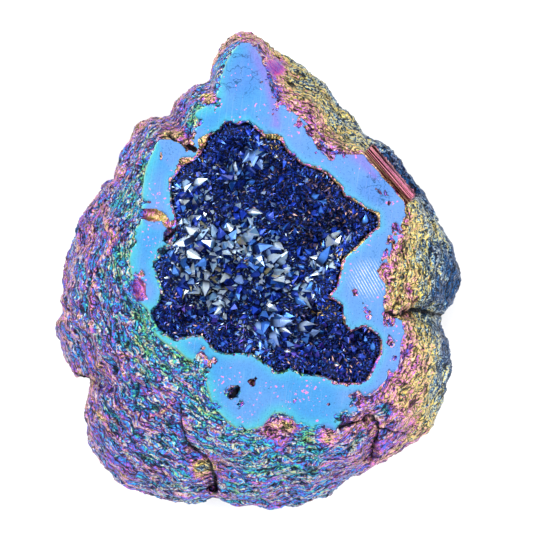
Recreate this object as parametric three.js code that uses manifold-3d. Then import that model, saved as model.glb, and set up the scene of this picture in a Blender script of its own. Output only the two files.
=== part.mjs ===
// One half of a sawn and polished geode with a metal aura coating, lying on its rounded back.
// Millimetres, +Z up, sawn face up. Two pieces: the stone with its hollow, and the crystal crust in it.

import * as THREE from 'three';
import { mergeVertices } from 'three/addons/utils/BufferGeometryUtils.js';
import { ImprovedNoise } from 'three/addons/math/ImprovedNoise.js';
import Module from 'manifold-3d';

const wasm = await Module();
wasm.setup();
const noise = new ImprovedNoise();

// Driving dimensions of the stone.
const THICKNESS = 46; // rest face to sawn face
const GIRTH_DROP = 27; // height from the sawn face down to the widest outline, where the rind is broadest
const BROAD_RIND = 16; // width of the rind there, seen from above
const FOOT_SHARE = 0.44; // rest face, as a share of the widest outline
const FOOT_CENTRE = [-1, -6]; // the middle of the rest face, under the centre of mass
const SHOULDER = THREE.MathUtils.degToRad(66); // how far the rind has turned in where the saw cut it
const SECTORS = 150; // points round each level
const LEVELS_BELOW = 4; // steps from the rest face to the girth
const LEVELS_ABOVE = 6; // steps from the girth to the sawn face
const LUMP_SIZE = 12; // spacing of the lumps of the rind
const LUMP_HEIGHT = 2.8; // how far the lumps stand out or in between the girth and the face
const GIRTH_LUMP = 0.5; // the same at the girth, whose outline is drawn already

// Driving dimensions of the hollow and its crust.
const HOLLOW_CENTRE = [2, 2];
const HOLLOW = [
  // depth below the sawn face, and size as a share of the mouth
  { depth: -2, share: 1 },
  { depth: 8, share: 1 },
  { depth: 15, share: 0.92 },
  { depth: 21.5, share: 0.74 },
];
const HOLLOW_DEPTH = HOLLOW.at(-1).depth;
const CRUST_INSIDE = [
  { depth: -2, share: 0.985 },
  { depth: 6, share: 0.93 },
  { depth: 14, share: 0.76 },
  { depth: 18, share: 0.4 },
];
const GAP = 0.3; // between the crust and the stone
const FINEST = 0.02; // slivers thinner than this are merged away
const CRYSTAL_SPACING = 4.5;
const CRYSTAL_WIDTH = [4.4, 7]; // smallest and largest, across the foot of its point
const CRYSTAL_SIDES = 6;

// The widest outline of the stone, seen from above, clockwise from its narrow end.
const GIRTH = [
  [-2.5, 54.75], [0.5, 54.5], [3.5, 53], [6, 51], [10.5, 47.5], [14.5, 44.75], [16.5, 42.5],
  [19, 38.75], [21.5, 36.5], [24.5, 33], [25.5, 31.25], [28.5, 30], [31, 28.5], [33.5, 25], [35.75, 22],
  [38.75, 17.75], [41, 14.25], [42.25, 11], [45.5, 6.25], [47, 3.5], [46.75, -1], [45.75, -5],
  [44.75, -9], [42.75, -9.75], [43.25, -13.5], [44.5, -15.5], [45.25, -20], [45, -24.5], [44, -28.5],
  [42, -33.25], [40.5, -35.75], [38, -36.75], [36.25, -38.75], [33.25, -40.5], [30.25, -43],
  [25.75, -45], [21.75, -47.5], [16.75, -50.75], [13.25, -52.5], [7.25, -54.25], [0.5, -54.75],
  [-5.25, -53.75], [-8, -52.75], [-10.25, -51.5], [-12, -52.5], [-14.5, -53.25], [-19, -53.5],
  [-24.25, -52.25], [-29.25, -50.5], [-32.75, -47.25], [-35.75, -43], [-37.5, -41.25], [-39, -37],
  [-39.25, -29], [-37, -25.25], [-40.25, -24.5], [-43.75, -20.75], [-45.25, -16], [-47, -13],
  [-45.25, -10], [-44.25, -4.25], [-44.5, 0], [-43.25, 4.5], [-41.25, 10], [-38.5, 14.5],
  [-34.75, 18.75], [-34.75, 21], [-32.25, 21.5], [-30.25, 27.25], [-28.25, 29.75], [-28, 31.75],
  [-26.5, 34.25], [-24.25, 35.75], [-19, 35.75], [-18.5, 38.5], [-16.5, 41.5], [-15, 41.75],
  [-13, 43.75], [-10, 43.5], [-9.5, 46.5], [-9, 50], [-7.75, 52], [-5.25, 54],
];

// The edge of the sawn face.
const FACE = [
  [-2.5, 52], [-0.25, 52], [1.25, 49.75], [3, 46], [3.75, 42.5], [4.5, 40], [6.25, 38.25], [9, 36],
  [11.5, 34.5], [12.75, 32.5], [14, 28.25], [16.25, 27], [20.5, 26.75], [24, 27.25], [26.75, 24.25],
  [29.25, 21.5], [32, 18.5], [33.75, 16.25], [34.5, 13.75], [34, 8.75], [31, 5.5], [30.5, 1.5],
  [28.75, -1], [30, -3], [29, -8.25], [31.75, -8.25], [33.5, -10.5], [34, -13.75], [33, -15.5],
  [33, -19], [32.25, -21.75], [29.5, -24], [28.25, -25.75], [24.75, -27.75], [22.5, -29.5], [23.75, -31],
  [20.75, -32], [18.5, -35.5], [15.5, -34.75], [12.75, -35], [8.5, -33.75], [7, -31.25], [3.75, -31.75],
  [3, -34.25], [-1.5, -35.5], [-4, -35], [-6.25, -33.25], [-10, -29], [-10.25, -26.25], [-11.75, -22.5],
  [-11.75, -20.25], [-15, -19.5], [-17, -17.5], [-20.25, -15.75], [-22.5, -13.5], [-23.5, -11],
  [-23.5, -8.75], [-25.25, -7.25], [-27, -5.25], [-27.75, 0.5], [-28.25, 3.25], [-27.5, 5.25],
  [-28.25, 7.75], [-27.5, 9.75], [-25.5, 11], [-25.25, 18.25], [-24.75, 22.25], [-23.75, 25.25],
  [-21.75, 29.75], [-20.25, 30.5], [-17.75, 30], [-12.75, 27.25], [-14.5, 29.75], [-14.5, 32.25],
  [-13.5, 36], [-11.75, 37.25], [-9, 38.25], [-8, 40.75], [-8.25, 42.25], [-7.25, 44], [-7.25, 46],
  [-6, 47.25], [-5.5, 49.25], [-4, 51],
];

// The mouth of the hollow in the sawn face.
const MOUTH = [
  [-6, 33.5], [-3.25, 32.5], [-1.75, 33.5], [0.5, 31.75], [2.25, 29.75], [5.75, 29.5], [7.25, 26.75],
  [10.5, 24], [14.5, 22.75], [16.5, 21.5], [19.5, 18.75], [19.75, 17], [22, 16], [25.25, 13.75],
  [27.25, 13], [27.75, 10.75], [25.5, 9.25], [23, 6.5], [20.25, 4.25], [19.25, 3], [19, 0.5], [18, -3],
  [15.75, -5.75], [17.75, -6.25], [19.25, -7.5], [19.75, -11.5], [21.75, -13.5], [24.75, -12.25],
  [26.5, -13.5], [28, -15.25], [28, -17.75], [26, -21.5], [25.25, -23.25], [23.5, -24.25], [19, -24],
  [16, -22.5], [10.75, -22], [8.25, -20.75], [5.5, -22], [3, -19.75], [-0.25, -17.5], [-6, -17.5],
  [-8.5, -16.75], [-10.75, -14], [-12.75, -13.25], [-17.75, -14.5], [-21, -12.25], [-22.5, -8.75],
  [-21, -7.5], [-19.75, -4], [-20.75, -1.5], [-22, 2], [-20, 3.75], [-18, 6], [-16.5, 8.25],
  [-16.75, 11.5], [-18, 16.5], [-18, 20.5], [-15, 24], [-12.75, 25], [-11.25, 26.75], [-9.5, 30.5],
  [-7.25, 31.5],
];

// Creases that part the lobes of the rind: plan points, and the width and depth at both ends.
const CREASES = [
  {
    path: [[-17.5, -29.5], [-17, -34.5], [-15.5, -39], [-12, -42], [-10.5, -44.25], [-9.75, -47], [-9.75, -50]],
    width: [1, 1.9],
    depth: [1.5, 4],
  },
  {
    path: [[-40, -24.25], [-31, -26], [-24, -26], [-20, -27.5], [-16, -28.5]],
    width: [3, 1],
    depth: [2.6, 0.7],
  },
  {
    path: [[20, -34], [22.5, -32.5], [25, -31.75], [27, -34], [27, -38], [26.5, -43]],
    width: [1.2, 2.4],
    depth: [2, 2.5],
  },
  {
    path: [[29.5, -8.5], [33, -9], [36, -8.25], [40, -9], [46, -10.5]],
    width: [1.2, 3],
    depth: [1.5, 2.5],
  },
];

// Pits left in the sawn face: centre, half sizes, turn in degrees and depth.
const PITS = [
  { at: [-4.75, -26.5], half: [1.5, 1.1], turn: 25, depth: 2.4 },
  { at: [-18.75, 8.25], half: [1.1, 1.8], turn: -15, depth: 1.6 },
  { at: [-20, 4.75], half: [1.5, 1], turn: 20, depth: 1.4 },
  { at: [-22.75, 13], half: [3.2, 1.1], turn: -8, depth: 1.3 },
  { at: [-25.5, -3.5], half: [1.3, 3], turn: 12, depth: 1.3 },
  { at: [24.5, -28.75], half: [2.4, 1], turn: 5, depth: 1.2 },
];

// The flat break across the rind beside the sawn face, upper right.
const BREAK = { start: [24, 27.5], end: [33.75, 16.25], tilt: THREE.MathUtils.degToRad(76), overrun: 1 };

const { lerp } = THREE.MathUtils;

/** How far an outline reaches from the origin at an angle. */
function reach(outline, angle) {
  const direction = new THREE.Vector2(Math.cos(angle), Math.sin(angle));
  let farthest = 0;
  outline.forEach(([x0, y0], i) => {
    const [x1, y1] = outline[(i + 1) % outline.length];
    const edge = new THREE.Vector2(x1 - x0, y1 - y0);
    const cross = direction.cross(edge);
    if (Math.abs(cross) < 1e-9) return;
    const start = new THREE.Vector2(x0, y0);
    const along = start.cross(edge) / cross;
    const share = start.cross(direction) / cross;
    if (share >= 0 && share <= 1) farthest = Math.max(farthest, along);
  });
  return farthest;
}

/** A manifold solid of a three.js geometry. */
function solid(geometry) {
  const bare = geometry.index ? geometry.toNonIndexed() : geometry;
  bare.deleteAttribute('normal');
  bare.deleteAttribute('uv');
  const merged = mergeVertices(bare, 1e-4);
  return new wasm.Manifold(
    new wasm.Mesh({
      numProp: 3,
      vertProperties: new Float32Array(merged.attributes.position.array),
      triVerts: new Uint32Array(merged.index.array),
    }),
  );
}

/** A closed stack of rings: ring(level) gives a level's points, anticlockwise, and hub(level) its middle. */
function stack(levels, sectors, ring, hub) {
  const geometry = new THREE.CylinderGeometry(1, 1, 1, sectors, levels - 1);
  const rings = Array.from({ length: levels }, (_, level) => ring(level));
  const position = geometry.attributes.position;
  for (let i = 0; i < position.count; i += 1) {
    const level = Math.round((position.getY(i) + 0.5) * (levels - 1));
    const onAxis = Math.hypot(position.getX(i), position.getZ(i)) < 0.5;
    const turn = Math.atan2(position.getX(i), position.getZ(i)) / (2 * Math.PI);
    const sector = (Math.round(turn * sectors) + sectors) % sectors;
    const place = onAxis ? hub(level) : rings[level][sector];
    position.setXYZ(i, ...place);
  }
  return solid(geometry);
}

/** Layers of one outline, scaled about the middle of the hollow and grown by a margin. */
function layers(outline, steps, margin) {
  const grown = grow(outline, margin);
  const shape = new THREE.Shape(grown.map(([x, y]) => new THREE.Vector2(x, y)));
  const count = steps.length - 1;
  const geometry = new THREE.ExtrudeGeometry(shape, { depth: count, steps: count, bevelEnabled: false });
  const position = geometry.attributes.position;
  for (let i = 0; i < position.count; i += 1) {
    const { depth, share } = steps[count - Math.round(position.getZ(i))];
    const x = lerp(HOLLOW_CENTRE[0], position.getX(i), share);
    const y = lerp(HOLLOW_CENTRE[1], position.getY(i), share);
    position.setXYZ(i, x, y, THICKNESS - depth);
  }
  return solid(geometry);
}

/** An outline moved outwards by a margin. The outlines here run clockwise. */
function grow(outline, margin) {
  return outline.map(([x, y], i) => {
    const before = outline[(i + outline.length - 1) % outline.length];
    const after = outline[(i + 1) % outline.length];
    const along = new THREE.Vector2(after[0] - before[0], after[1] - before[1]).normalize();
    return [x - along.y * margin, y + along.x * margin];
  });
}

/** Lumpy relief of the rind at a point, from -1 to 1: broad lumps with sharper ones on them. */
function lumps(x, y, z) {
  const [u, v, w] = [x / LUMP_SIZE, y / LUMP_SIZE, (1.6 * z) / LUMP_SIZE];
  const broad = noise.noise(u + 3.1, v + 7.7, w + 1.3);
  const fine = noise.noise(2.1 * u, 2.1 * v, 2.1 * w + 5.9);
  return 0.8 * broad + 0.7 * (0.5 - Math.abs(fine) * 2);
}

const angles = Array.from({ length: SECTORS }, (_, i) => (2 * Math.PI * i) / SECTORS);
const girthReach = angles.map((angle) => reach(GIRTH, angle));
const faceReach = angles.map((angle) => reach(FACE, angle));

/** Values round the stone, each evened out over its neighbours. */
function evened(values, neighbours) {
  return values.map((_, i) => {
    const offsets = Array.from({ length: 2 * neighbours + 1 }, (_, k) => k - neighbours);
    const sum = offsets.reduce((total, k) => total + values[(i + k + SECTORS) % SECTORS], 0);
    return sum / offsets.length;
  });
}

/** How far the girth lies below the sawn face at each angle: a narrow rind turns under sooner. */
const girthDrops = evened(
  angles.map((_, i) => GIRTH_DROP * Math.min((girthReach[i] - faceReach[i]) / BROAD_RIND, 1) ** 0.4),
  6,
);
const backReach = evened(girthReach, 9); // the rounder outline of the back
const lumpShare = evened(angles.map((_, i) => Math.min((girthReach[i] - faceReach[i]) / BROAD_RIND, 1)), 2);

/**
 * The levels of the stone. rise runs from 0 at the rest face over 1 at the girth to 2 at the sawn face, share
 * is that of the girth outline, blend is towards the face outline, and relief is the height of the lumps.
 */
function stoneLevels() {
  const footTurn = Math.acos(FOOT_SHARE);
  const below = Array.from({ length: LEVELS_BELOW }, (_, i) => {
    const turn = footTurn * (1 - i / LEVELS_BELOW);
    const rise = 1 - Math.sin(turn) / Math.sin(footTurn);
    return { rise, share: Math.cos(turn), blend: 0, relief: i ? LUMP_HEIGHT * 0.7 : 0 };
  });
  const above = Array.from({ length: LEVELS_ABOVE + 1 }, (_, i) => {
    const turn = (SHOULDER * i) / LEVELS_ABOVE;
    const rise = 1 + Math.sin(turn) / Math.sin(SHOULDER);
    const blend = (1 - Math.cos(turn)) / (1 - Math.cos(SHOULDER));
    const inside = i > 0 && i < LEVELS_ABOVE;
    return { rise, share: 1, blend, relief: inside ? LUMP_HEIGHT : i ? 0 : GIRTH_LUMP };
  });
  return [...below, ...above];
}

/** Height of a level where the girth lies so far below the sawn face. */
function heightOf(rise, drop) {
  return rise < 1 ? rise * (THICKNESS - drop) : THICKNESS - drop * (2 - rise);
}

/** Height of the rind above a plan point, without its lumps. */
function rindHeight(x, y) {
  const angle = Math.atan2(y, x);
  const outer = reach(GIRTH, angle);
  const inner = reach(FACE, angle);
  const blend = THREE.MathUtils.clamp((outer - Math.hypot(x, y)) / (outer - inner), 0, 1);
  const turn = Math.acos(1 - blend * (1 - Math.cos(SHOULDER)));
  const sector = (Math.round((angle / (2 * Math.PI)) * SECTORS) + SECTORS) % SECTORS;
  return heightOf(1 + Math.sin(turn) / Math.sin(SHOULDER), girthDrops[sector]);
}

/** The whole stone before its hollow is opened. */
function rawStone() {
  const levels = stoneLevels();
  const ring = (level) => {
    const { rise, share, blend, relief } = levels[level];
    return angles.map((angle, i) => {
      const height = heightOf(rise, girthDrops[i]);
      const outer = lerp(backReach[i], girthReach[i], Math.min(rise, 1));
      const radius = lerp(outer, faceReach[i], blend);
      const x = lerp(FOOT_CENTRE[0], radius * Math.cos(angle), share);
      const y = lerp(FOOT_CENTRE[1], radius * Math.sin(angle), share);
      const out = relief * lumpShare[i] * lumps(x, y, height);
      return [x + out * Math.cos(angle), y + out * Math.sin(angle), height];
    });
  };
  return stack(levels.length, SECTORS, ring, (level) => [0, 0, level ? THICKNESS : 0]);
}

/** A V-shaped blade along a plan path, which cuts a crease into the rind. */
function creaseBlade({ path, width, depth }) {
  const above = 4;
  const last = path.length - 1;
  const ring = (level) => {
    const [x, y] = path[level];
    const before = path[Math.max(level - 1, 0)];
    const after = path[Math.min(level + 1, last)];
    const along = new THREE.Vector2(after[0] - before[0], after[1] - before[1]).normalize();
    const surface = rindHeight(x, y);
    const cut = lerp(...depth, level / last);
    const half = (lerp(...width, level / last) / 2) * (1 + above / cut);
    return [
      [x, y, surface - cut],
      [x - along.y * half, y + along.x * half, surface + above],
      [x + along.y * half, y - along.x * half, surface + above],
    ];
  };
  const middle = (level) => {
    const points = ring(level);
    return [0, 1, 2].map((axis) => (points[0][axis] + points[1][axis] + points[2][axis]) / 3);
  };
  return stack(path.length, 3, ring, middle);
}

/** A rounded pit in the sawn face. */
function pit({ at, half, turn, depth }) {
  const geometry = new THREE.SphereGeometry(1, 9, 6);
  geometry.rotateX(Math.PI / 2);
  geometry.scale(half[0], half[1], depth);
  geometry.rotateZ(THREE.MathUtils.degToRad(turn));
  geometry.translate(at[0], at[1], THICKNESS + 0.2);
  return solid(geometry);
}

/** The block that takes off the flat break beside the sawn face. */
function breakBlock({ start, end, tilt, overrun }) {
  const length = Math.hypot(end[0] - start[0], end[1] - start[1]) + 2 * overrun;
  const size = 14;
  const geometry = new THREE.BoxGeometry(length, size, size);
  geometry.translate(0, size / 2, size / 2);
  geometry.rotateX(-tilt);
  geometry.rotateZ(Math.atan2(end[1] - start[1], end[0] - start[0]));
  geometry.translate((start[0] + end[0]) / 2, (start[1] + end[1]) / 2, THICKNESS);
  return solid(geometry);
}

/** The stone: rind, sawn face and hollow in one piece. Chips that the creases cut loose are dropped. */
function stone() {
  const cuts = [layers(MOUTH, HOLLOW, GAP), breakBlock(BREAK), ...CREASES.map(creaseBlade), ...PITS.map(pit)];
  const body = cuts.reduce((left, cut) => left.subtract(cut), rawStone());
  return body.decompose().reduce((a, b) => (a.volume() > b.volume() ? a : b)).simplify(FINEST);
}

/** A seeded run of numbers from 0 to 1. */
function seeded(seed) {
  let state = seed;
  return () => {
    state = (state * 1664525 + 1013904223) % 4294967296;
    return state / 4294967296;
  };
}

/** The six-faced point of a quartz crystal, along +Y from the origin, with its tip off the middle. */
function crystalPoint(width, height, lean) {
  const profile = [[0, 0], [width / 2, 0], [0, height]].map(([x, y]) => new THREE.Vector2(x, y));
  const geometry = new THREE.LatheGeometry(profile, CRYSTAL_SIDES);
  const position = geometry.attributes.position;
  for (let i = 0; i < position.count; i += 1) {
    if (position.getY(i) > height / 2) position.setX(i, position.getX(i) + lean);
  }
  return geometry;
}

/** Places on the inside of the crust, each with the way that its crystal points. */
function crystalSites(inside) {
  const surface = new THREE.Mesh(asGeometry(inside), new THREE.MeshBasicMaterial({ side: THREE.DoubleSide }));
  surface.updateMatrixWorld();
  const lamps = [[-6, 8], [-6, -6], [8, 12], [18, 8], [10, -8], [20, -18], [-15, -10], [-12, 16]];
  const rays = 260;
  const sites = [];
  lamps.forEach(([x, y], lamp) => {
    const eye = new THREE.Vector3(x, y, THICKNESS - 7);
    for (let i = 0; i < rays; i += 1) {
      const z = lerp(0.55, -1, (i + 0.5) / rays);
      const turn = i * Math.PI * (3 - Math.sqrt(5)) + lamp;
      const flat = Math.sqrt(1 - z * z);
      const way = new THREE.Vector3(flat * Math.cos(turn), flat * Math.sin(turn), z);
      const hit = new THREE.Raycaster(eye, way).intersectObject(surface)[0];
      if (!hit || hit.point.z > THICKNESS - 1.2) continue;
      const crowded = sites.some((site) => site.point.distanceTo(hit.point) < CRYSTAL_SPACING);
      if (crowded) continue;
      const normal = hit.face.normal.clone();
      if (normal.dot(way) > 0) normal.negate();
      sites.push({ point: hit.point, normal });
    }
  });
  return sites;
}

/** The crystals of the crust, each on its own site. */
function crystals(inside) {
  const random = seeded(29);
  const spread = () => random() * 2 - 1;
  return crystalSites(inside).map(({ point, normal }) => {
    const width = lerp(...CRYSTAL_WIDTH, random() ** 1.6);
    const geometry = crystalPoint(width, width * lerp(0.75, 1.05, random()), spread() * width * 0.12);
    const lean = new THREE.Vector3(spread() * 0.45, spread() * 0.45, 0.35 + spread() * 0.3);
    const way = normal.clone().add(lean).normalize();
    geometry.rotateY(random() * Math.PI);
    geometry.translate(0, -width * 0.2, 0);
    geometry.applyQuaternion(new THREE.Quaternion().setFromUnitVectors(new THREE.Vector3(0, 1, 0), way));
    geometry.translate(point.x, point.y, point.z);
    return solid(geometry);
  });
}

/** The druse that lines the hollow, in one piece. */
function crust() {
  const room = layers(MOUTH, HOLLOW, 0)
    .trimByPlane([0, 0, -1], GAP - THICKNESS)
    .trimByPlane([0, 0, 1], THICKNESS - HOLLOW_DEPTH + GAP);
  const inside = layers(MOUTH, CRUST_INSIDE, 0);
  const lining = room.subtract(inside);
  return wasm.Manifold.union([lining, ...crystals(inside)]).intersect(room).simplify(FINEST);
}

/** The three.js geometry of a manifold solid, in flat facets. */
function asGeometry(body) {
  const mesh = body.getMesh();
  const geometry = new THREE.BufferGeometry();
  geometry.setAttribute('position', new THREE.BufferAttribute(new Float32Array(mesh.vertProperties), 3));
  geometry.setIndex(new THREE.BufferAttribute(new Uint32Array(mesh.triVerts), 1));
  geometry.computeVertexNormals();
  return geometry;
}

/** A named piece of the part. */
function piece(name, body, material) {
  const mesh = new THREE.Mesh(asGeometry(body), material);
  mesh.name = name;
  return mesh;
}

const auraRind = new THREE.MeshStandardMaterial({ color: 0x64a8dc, roughness: 0.35, metalness: 0.8 });
const auraCrystal = new THREE.MeshStandardMaterial({ color: 0x2338a0, roughness: 0.12, metalness: 0.9 });

const group = new THREE.Group();
group.add(piece('geode_shell', stone(), auraRind));
group.add(piece('crystal_crust', crust(), auraCrystal));

// The origin is the middle of the part's box, on the surface it lies on.
const middle = new THREE.Box3().setFromObject(group).getCenter(new THREE.Vector3());
group.position.set(-middle.x, -middle.y, 0);

export default group;
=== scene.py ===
"""Dresses an aura-coated geode half: its rind, its polished face and the druse in its hollow."""

import itertools
import math
from functools import partial

import bpy
import numpy as np
from bpy.props import FloatProperty, FloatVectorProperty, IntProperty, PointerProperty
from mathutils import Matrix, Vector
from mathutils.bvhtree import BVHTree


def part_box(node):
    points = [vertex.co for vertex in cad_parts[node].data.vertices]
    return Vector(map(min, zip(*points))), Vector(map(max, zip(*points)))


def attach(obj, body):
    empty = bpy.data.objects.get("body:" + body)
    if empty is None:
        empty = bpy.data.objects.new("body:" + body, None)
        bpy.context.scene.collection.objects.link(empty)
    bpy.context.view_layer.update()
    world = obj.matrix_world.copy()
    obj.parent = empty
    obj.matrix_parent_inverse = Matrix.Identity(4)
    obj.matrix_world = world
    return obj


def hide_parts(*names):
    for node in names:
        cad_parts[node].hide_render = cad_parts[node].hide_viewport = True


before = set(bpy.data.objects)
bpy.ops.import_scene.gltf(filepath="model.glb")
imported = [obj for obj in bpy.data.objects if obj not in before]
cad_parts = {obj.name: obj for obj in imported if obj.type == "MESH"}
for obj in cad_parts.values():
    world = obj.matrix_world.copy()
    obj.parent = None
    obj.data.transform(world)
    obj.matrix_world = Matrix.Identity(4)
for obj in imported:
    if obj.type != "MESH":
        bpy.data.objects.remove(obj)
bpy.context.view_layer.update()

bl_info = {
    "name": "Aura geode half",
    "version": (1, 0, 0),
    "blender": (4, 5, 0),
    "location": "3D View > Sidebar > Geode",
    "description": "Builds the rind, the sawn face and the crystal crust of a coated geode half",
    "category": "Add Mesh",
}

MM = 0.001  # metres in a millimetre
CAD_LOW, CAD_HIGH = (np.array(corner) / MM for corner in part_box("geode_shell"))
TOP = CAD_HIGH[2]  # height of the sawn face, mm


def linear(hex_colour):
    """An sRGB hex colour as a linear RGBA value."""
    channels = [int(hex_colour[i : i + 2], 16) / 255 for i in (1, 3, 5)]
    return (*(c / 12.92 if c <= 0.04045 else ((c + 0.055) / 1.055) ** 2.4 for c in channels), 1.0)


def size_property(name, description, millimetres):
    """A length that a user may change, given in millimetres and kept in metres."""
    length = {"unit": "LENGTH", "precision": 5, "min": 0, "default": millimetres * MM}
    return FloatProperty(name=name, description=description, **length)


def colour_property(name, description, default):
    """A colour that a user may change, given as sRGB hex."""
    colour = {"subtype": "COLOR", "size": 4, "min": 0, "max": 1, "default": linear(default)}
    return FloatVectorProperty(name=name, description=description, **colour)


class StoneSettings(bpy.types.PropertyGroup):
    """Sizes and film colours of the stone."""

    grain: size_property("Mesh grain", "Edge length of the finest faces", 0.48)
    swell: size_property("Swell height", "Height of the broad swells", 0.7)
    ledge: size_property("Ledge height", "Height of the flaked ledges", 0.45)
    ridge: size_property("Ridge height", "Height of the bark-like ridges", 0.8)
    grit: size_property("Grit height", "Height of the finest modelled grit", 0.4)
    deep_blue: colour_property("Deep blue film", "Thinnest film", "#2868A0")
    silver: colour_property("Silver film", "Thin film, silver-blue", "#B4D0E0")
    gold: colour_property("Gold film", "Thin film, yellow-gold", "#F8E878")
    tan: colour_property("Tan film", "Film between gold and pink", "#F2CCAC")
    pink: colour_property("Pink film", "Film of the ridges", "#F494D8")
    violet: colour_property("Violet film", "Film between pink and blue", "#9874E4")
    blue: colour_property("Blue film", "Film of the slopes", "#4C88E8")
    cyan: colour_property("Cyan film", "Film of the slopes", "#50BCEC")
    teal: colour_property("Teal film", "Film beside the sawn face", "#40BCC0")
    green: colour_property("Green film", "Thickest film", "#90D8A0")
    face: colour_property("Sawn face", "Sky-blue film of the polished face", "#4AA4EC")
    face_edge: colour_property("Sawn face beside the rind", "Cyan film", "#52D4DC")
    face_fringe: colour_property("Fringe of the sawn face", "Film at its very edge", "#C4F08C")
    face_warm: colour_property("Sawn face, upper right", "Violet-blue film", "#7CA8F4")
    break_dark: colour_property("Break, dark", "Maroon stripes of the break", "#4A0E24")
    break_light: colour_property("Break, light", "Pink stripes of the break", "#FFA8C8")
    # The colour of the painted highlight lines on the rind.
    crest: colour_property("Crest lines", "Film on the sharpest crests", "#F8D8A0")
    # Painted shade: the dark colour that the rind's shadow lines, its recesses, its creases and the
    # stone in the hollow are darkened towards. The same colour also darkens the whole stone evenly
    # by the film's loss.
    crease_shade: colour_property("Crease", "Film and dirt deep in the creases", "#0C0E18")


class DruseSettings(bpy.types.PropertyGroup):
    """Sizes and colours of the crystals."""

    large: size_property("Largest crystal", "Width of the largest crystals", 2.9)
    small: size_property("Smallest crystal", "Width of the smallest crystals", 0.6)
    count: IntProperty(name="Crystals", description="Places tried", default=16000, min=1)
    navy: colour_property("Navy", "Film on crystals in the shade", "#2C4494")
    royal: colour_property("Royal blue", "Film on most crystals", "#2850E4")
    sky: colour_property("Sky blue", "Film on the brighter blue crystals", "#5498F4")
    steel: colour_property("Steel", "Film on the crystals of the bright middle", "#4C9AD0")
    ice: colour_property("Ice", "Film on the brightest crystals", "#E8F8FF")
    olive: colour_property("Olive", "Film on a few crystals of the bright middle", "#A09C78")
    violet: colour_property("Violet", "Film on crystals low in the hollow", "#6440C0")
    rose: colour_property("Rose", "Film on the smallest glints", "#F8C4B4")
    dust: colour_property("Dust", "Uncoated brown-grey quartz", "#65546A")
    gilt: colour_property("Gilt", "Film on small crystals beside the sawn face", "#B89A50")
    # Also the colour of the painted shade on the crystals: on their turned-away facets and towards
    # their feet.
    bed: colour_property("Bed", "Coated quartz between the crystals", "#0C1230")


class StageSettings(bpy.types.PropertyGroup):
    """Floor, lights and camera."""

    floor: colour_property("Floor", "Pale floor", "#F6F6F6")
    brightness: FloatProperty(name="Brightness", description="Of the soft boxes", default=1, min=0)
    lens: FloatProperty(name="Lens", description="Focal length", default=200, min=1, unit="CAMERA")


# ---- noise


# Primes that turn a corner of the lattice into a key, and the steps that mix its bits.
CORNER_KEYS = np.array([73856093, 19349663, 83492791])
SEED_KEY = 7919
MIXING = ((15, 0x9E3779B97F4A7C15), (29, 0xBF58476D1CE4E5B9), (32, 1))
SLOPE_BITS = 10  # of the key, for each axis
NOISE_SWING = 1.5


def gradient_noise(points, cell, seed):
    """Smooth noise from about -1 to 1 at points, with lumps about one cell across."""
    scaled = points / cell
    base = np.floor(scaled)
    part = scaled - base
    base = base.astype(np.int64)
    ease = part**3 * (part * (part * 6 - 15) + 10)
    total = np.zeros(len(points))
    high = 2**SLOPE_BITS - 1
    for corner in itertools.product((0, 1), repeat=3):
        offset = np.array(corner)
        key = ((base + offset) @ CORNER_KEYS + seed * SEED_KEY).astype(np.uint64)
        for shift, factor in MIXING:
            key ^= key >> np.uint64(shift)
            key *= np.uint64(factor)
        bits = [(key >> np.uint64(SLOPE_BITS * axis)) & np.uint64(high) for axis in range(3)]
        slope = np.stack(bits, axis=1).astype(float) / (high / 2) - 1
        weight = np.prod(np.where(offset, ease, 1 - ease), axis=1)
        total += weight * np.einsum("ij,ij->i", slope, part - offset)
    return total * NOISE_SWING


def ridges(points, cell, seed):
    """Sharp-crested noise from -1 in the creases to 1 on the crests."""
    return 1 - 2 * np.clip(np.abs(gradient_noise(points, cell, seed)) * 1.8, 0, 1)


def warped(points, cell, reach, seed):
    """Points pushed about by noise, so that ridges run in curves."""
    push = [gradient_noise(points, cell, seed + axis) for axis in range(3)]
    return points + reach * np.stack(push, axis=1)


def smooth_step(value, low, high):
    """0 below low, 1 above high, and an even curve between."""
    t = np.clip((value - low) / (high - low), 0, 1)
    return t * t * (3 - 2 * t)


# ---- meshes


def mesh_array(items, name, width, kind=float):
    """One property of all vertices or edges of a mesh, as an array with a row for each."""
    flat = np.zeros(len(items) * width, kind)
    items.foreach_get(name, flat)
    return flat.reshape(-1, width)


def vertex_array(mesh):
    """The vertices of a mesh in millimetres."""
    return mesh_array(mesh.vertices, "co", 3) / MM


def normal_array(mesh):
    """The vertex normals of a mesh."""
    return mesh_array(mesh.vertex_normals, "vector", 3)


def set_vertices(mesh, points):
    """Moves the vertices of a mesh to points in millimetres."""
    mesh.vertices.foreach_set("co", (points * MM).astype(np.float32).ravel())
    mesh.update()


def set_attribute(mesh, name, values):
    """Stores one number per vertex for a material to read."""
    layer = mesh.attributes.new(name, "FLOAT", "POINT")
    layer.data.foreach_set("value", np.asarray(values, np.float32))


ROUNDS = 6  # of evening out


def even_out(mesh, weights):
    """The vertices of a mesh, each moved towards the middle of its neighbours, by its weight."""
    points = vertex_array(mesh)
    edges = mesh_array(mesh.edges, "vertices", 2, np.int32)
    degree = np.bincount(edges.ravel(), minlength=len(points))[:, None]
    for _ in range(ROUNDS):
        total = np.zeros_like(points)
        for axis in range(3):
            total[:, axis] = np.bincount(edges[:, 0], points[edges[:, 1], axis], len(points))
            total[:, axis] += np.bincount(edges[:, 1], points[edges[:, 0], axis], len(points))
        points = points + (total / degree - points) * weights[:, None]
    return points


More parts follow.
